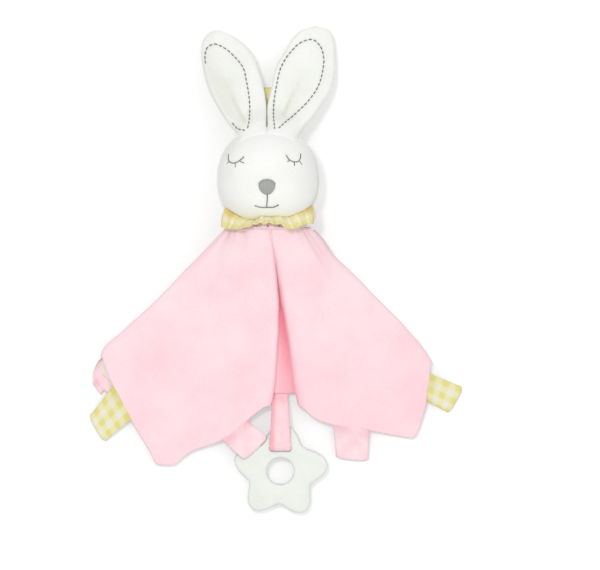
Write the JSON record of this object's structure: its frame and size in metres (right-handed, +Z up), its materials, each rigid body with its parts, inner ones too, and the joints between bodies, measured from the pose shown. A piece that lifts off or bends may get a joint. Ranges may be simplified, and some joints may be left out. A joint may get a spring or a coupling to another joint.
{
  "type": "comfort blanket lovey",
  "caption": "Plush rabbit head on a gathered square of soft cloth with folding ears, ruffle collar, ribbon tags, hanging loop and a star teether on a strap.",
  "frame": {"origin": "on the table plane, under the middle of the blanket's rear layer, as the lovey lies on its back", "axes": "+Z up off the table towards the face, +Y from the blanket towards the ears, +X to the right as seen from above"},
  "size_m": [0.2546, 0.3307, 0.0576],
  "materials": {
    "pink_velour": "short pile velour",
    "printed_cotton": "smooth woven cotton with a small print",
    "pink_ribbon": "satin-faced ribbon",
    "yellow_gingham": "woven check cotton",
    "grey_thread": "embroidery thread",
    "white_plush": "short pile plush",
    "polyester_fill": "loose fibre filling",
    "white_silicone": "smooth matte food-grade silicone"
  },
  "bodies": {
    "blanket": {"blanket_velour": "pink_velour", "blanket_backing": "printed_cotton", "tag_pink_rear": "pink_ribbon"},
    "neck": {"neck_thread": "grey_thread", "ruffle_collar": "yellow_gingham"},
    "head": {"head_face_panel": "white_plush", "head_back_panel": "white_plush", "head_stuffing": "polyester_fill", "nose_embroidery": "grey_thread", "mouth_embroidery": "grey_thread", "eye_left_embroidery": "grey_thread", "eye_right_embroidery": "grey_thread"},
    "ear_left": {"ear_left_front_panel": "white_plush", "ear_left_back_panel": "white_plush", "ear_left_wadding": "polyester_fill", "ear_left_stitching": "grey_thread"},
    "ear_right": {"ear_right_front_panel": "white_plush", "ear_right_back_panel": "white_plush", "ear_right_wadding": "polyester_fill", "ear_right_stitching": "grey_thread"},
    "hanging_loop": {"hanging_loop": "yellow_gingham"},
    "tag_gingham_left": {"tag_gingham_left": "yellow_gingham"},
    "tag_gingham_right": {"tag_gingham_right": "yellow_gingham"},
    "tag_pink_left": {"tag_pink_left": "pink_ribbon"},
    "tag_pink_right": {"tag_pink_right": "pink_ribbon"},
    "teether_strap": {"teether_strap": "pink_ribbon"},
    "teether_star": {"teether_star": "white_silicone"}
  },
  "joints": [
    {"name": "head_nod", "type": "hinge", "parent": "blanket", "child": "neck", "pos_m": [0, 0.054, 0.028], "axis": [1, 0, 0], "range_deg": [-8, 12]},
    {"name": "head_turn", "type": "hinge", "parent": "neck", "child": "head", "pos_m": [0, 0.054, 0.028], "axis": [0, 1, 0], "range_deg": [-30, 30]},
    {"name": "ear_left_fold", "type": "hinge", "parent": "head", "child": "ear_left", "pos_m": [-0.018, 0.1208, 0.028], "axis": [1, 0, 0], "range_deg": [0, 100]},
    {"name": "ear_right_fold", "type": "hinge", "parent": "head", "child": "ear_right", "pos_m": [0.018, 0.1208, 0.028], "axis": [1, 0, 0], "range_deg": [0, 100]},
    {"name": "hanging_loop_fold", "type": "hinge", "parent": "head", "child": "hanging_loop", "pos_m": [0, 0.11538, 0.0159], "axis": [1, 0, 0], "range_deg": [-60, 0]},
    {"name": "tag_gingham_left_lift", "type": "hinge", "parent": "blanket", "child": "tag_gingham_left", "pos_m": [-0.10007, -0.0705, 0.0046], "axis": [-0.4238, 0.9057, 0], "range_deg": [0, 85]},
    {"name": "tag_gingham_right_lift", "type": "hinge", "parent": "blanket", "child": "tag_gingham_right", "pos_m": [0.1097, -0.0596, 0.0052], "axis": [-0.0779, -0.997, 0], "range_deg": [0, 85]},
    {"name": "tag_pink_right_lift", "type": "hinge", "parent": "blanket", "child": "tag_pink_right", "pos_m": [0.0565, -0.0873, 0.0058], "axis": [-0.9869, 0.1611, 0], "range_deg": [0, 85]},
    {"name": "tag_pink_left_lift", "type": "hinge", "parent": "blanket", "child": "tag_pink_left", "pos_m": [-0.02177, -0.08895, 0.0067], "axis": [-0.7906, -0.6124, 0], "range_deg": [0, 45]},
    {"name": "strap_swing", "type": "hinge", "parent": "blanket", "child": "teether_strap", "pos_m": [0.00907, -0.06445, 0.0045], "axis": [1, 0, 0], "range_deg": [0, 85]},
    {"name": "star_swivel", "type": "hinge", "parent": "teether_strap", "child": "teether_star", "pos_m": [0.0085, -0.1008, 0.007], "axis": [0, 0, 1], "range_deg": [-6, 6]}
  ]
}
